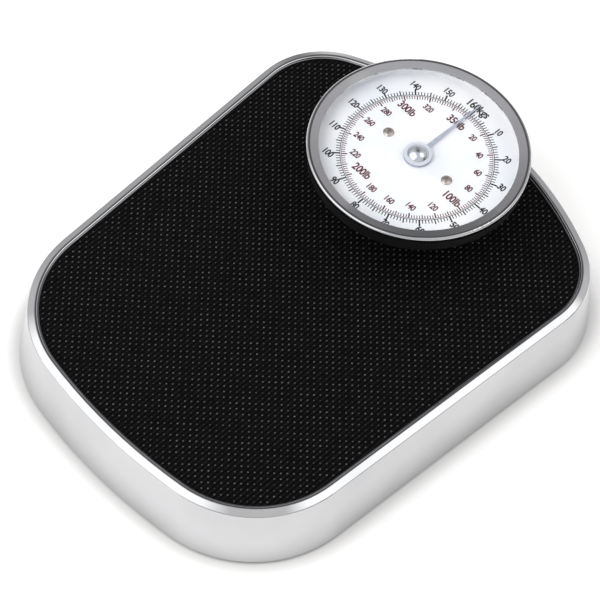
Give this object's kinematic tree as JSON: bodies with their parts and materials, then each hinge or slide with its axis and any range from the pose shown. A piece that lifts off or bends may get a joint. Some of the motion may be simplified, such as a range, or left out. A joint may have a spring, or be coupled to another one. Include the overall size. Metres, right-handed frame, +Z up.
{
  "type": "mechanical bathroom scale",
  "caption": "Mechanical bathroom scale: chromed spring platform with a black rubber mat and a raised round dial with a turning pointer.",
  "frame": {"origin": "on the floor, at the middle of the scale's footprint", "axes": "+Z up, +Y towards the dial end, +X to the right of someone standing at the front and facing the dial"},
  "size_m": [0.3346, 0.4203, 0.1142],
  "materials": {
    "chrome_cover": "polished chrome-plated steel sheet",
    "chrome_bezel": "polished chrome-plated ring",
    "chrome_hub": "polished chrome-plated dome",
    "black_rubber": "matt black ribbed rubber mat with fine raised points",
    "clear_lens": "clear domed lens",
    "white_dial": "white printed sheet",
    "white_ring": "white moulded ring",
    "black_shell": "satin black moulding",
    "black_neck": "satin black enamel",
    "black_knob": "satin black moulding",
    "needle": "pale silver pointer",
    "screw_metal": "dull brownish plated screw",
    "painted_pan": "black painted pressed steel",
    "zinc_steel": "zinc-plated steel",
    "spring_steel": "oiled spring steel",
    "brass": "machined brass",
    "foot_rubber": "black rubber"
  },
  "bodies": {
    "base": {"base_pan": "painted_pan", "foot_front_left": "foot_rubber", "foot_front_right": "foot_rubber", "foot_rear_left": "foot_rubber", "foot_rear_right": "foot_rubber", "bracket_front_left": "zinc_steel", "bracket_front_right": "zinc_steel", "bracket_rear_left": "zinc_steel", "bracket_rear_right": "zinc_steel", "neck": "black_neck", "mechanism_plate": "zinc_steel", "crank_bracket": "zinc_steel", "spring_bridge": "zinc_steel", "main_spring_left": "spring_steel", "main_spring_right": "spring_steel", "head_shell": "black_shell", "dial_plate": "white_dial", "dial_screw_left": "screw_metal", "dial_screw_right": "screw_metal", "spacer_ring": "white_ring", "lens": "clear_lens", "bezel": "chrome_bezel"},
    "platform": {"platform_cover": "chrome_cover", "platform_mat": "black_rubber", "saddle_front_left": "zinc_steel", "saddle_front_right": "zinc_steel", "saddle_rear_left": "zinc_steel", "saddle_rear_right": "zinc_steel"},
    "long_lever": {"long_lever": "zinc_steel"},
    "short_lever_left": {"short_lever_left": "zinc_steel"},
    "short_lever_right": {"short_lever_right": "zinc_steel"},
    "spring_hanger": {"spring_hanger": "zinc_steel"},
    "bell_crank": {"bell_crank": "zinc_steel"},
    "rack": {"rack": "brass"},
    "pointer": {"pinion_shaft": "brass", "hub_collar": "chrome_hub", "pointer": "needle", "hub_cap": "chrome_hub"},
    "zero_knob": {"zero_knob": "black_knob", "zero_spindle": "zinc_steel"}
  },
  "joints": [
    {"name": "platform_press", "type": "slide", "parent": "base", "child": "platform", "axis": [0, 0, -1], "range_m": [0, 0.0024], "stiffness_N_per_m": 654000},
    {"name": "long_lever_turn", "type": "hinge", "parent": "base", "child": "long_lever", "pos_m": [0, -0.148, 0.03], "axis": [-1, 0, 0], "range_deg": [0, 2.86]},
    {"name": "short_lever_left_turn", "type": "hinge", "parent": "base", "child": "short_lever_left", "pos_m": [0, 0.128, 0.03], "axis": [1, 0, 0], "range_deg": [0, 2.86]},
    {"name": "short_lever_right_turn", "type": "hinge", "parent": "base", "child": "short_lever_right", "pos_m": [0, 0.128, 0.03], "axis": [1, 0, 0], "range_deg": [0, 2.86]},
    {"name": "hanger_drop", "type": "slide", "parent": "base", "child": "spring_hanger", "axis": [0, 0, -1], "range_m": [0, 0.01183], "deforming": ["main_spring_left", "main_spring_right"]},
    {"name": "crank_turn", "type": "hinge", "parent": "base", "child": "bell_crank", "pos_m": [0, 0.11323, 0.03452], "axis": [1, 0, 0], "range_deg": [0, 33.88]},
    {"name": "rack_slide", "type": "slide", "parent": "base", "child": "rack", "axis": [0, -1, 0], "range_m": [0, 0.01885]},
    {"name": "pointer_turn", "type": "hinge", "parent": "base", "child": "pointer", "pos_m": [0, 0.111, 0.1], "axis": [0, 0, -1], "range_deg": [0, 360]},
    {"name": "zero_knob_turn", "type": "hinge", "parent": "base", "child": "zero_knob", "pos_m": [0, 0.15, 0.073], "axis": [0, 1, 0], "range_deg": [-360, 360]}
  ],
  "couplings": [
    {"joint": "long_lever_turn", "follows": "platform_press", "rad_per_m": 20.833},
    {"joint": "short_lever_left_turn", "follows": "platform_press", "rad_per_m": 20.833},
    {"joint": "short_lever_right_turn", "follows": "platform_press", "rad_per_m": 20.833},
    {"joint": "hanger_drop", "follows": "platform_press", "ratio": 4.9271},
    {"joint": "crank_turn", "follows": "platform_press", "rad_per_m": 246.35},
    {"joint": "rack_slide", "follows": "platform_press", "ratio": 7.854},
    {"joint": "pointer_turn", "follows": "platform_press", "rad_per_m": 2618}
  ]
}
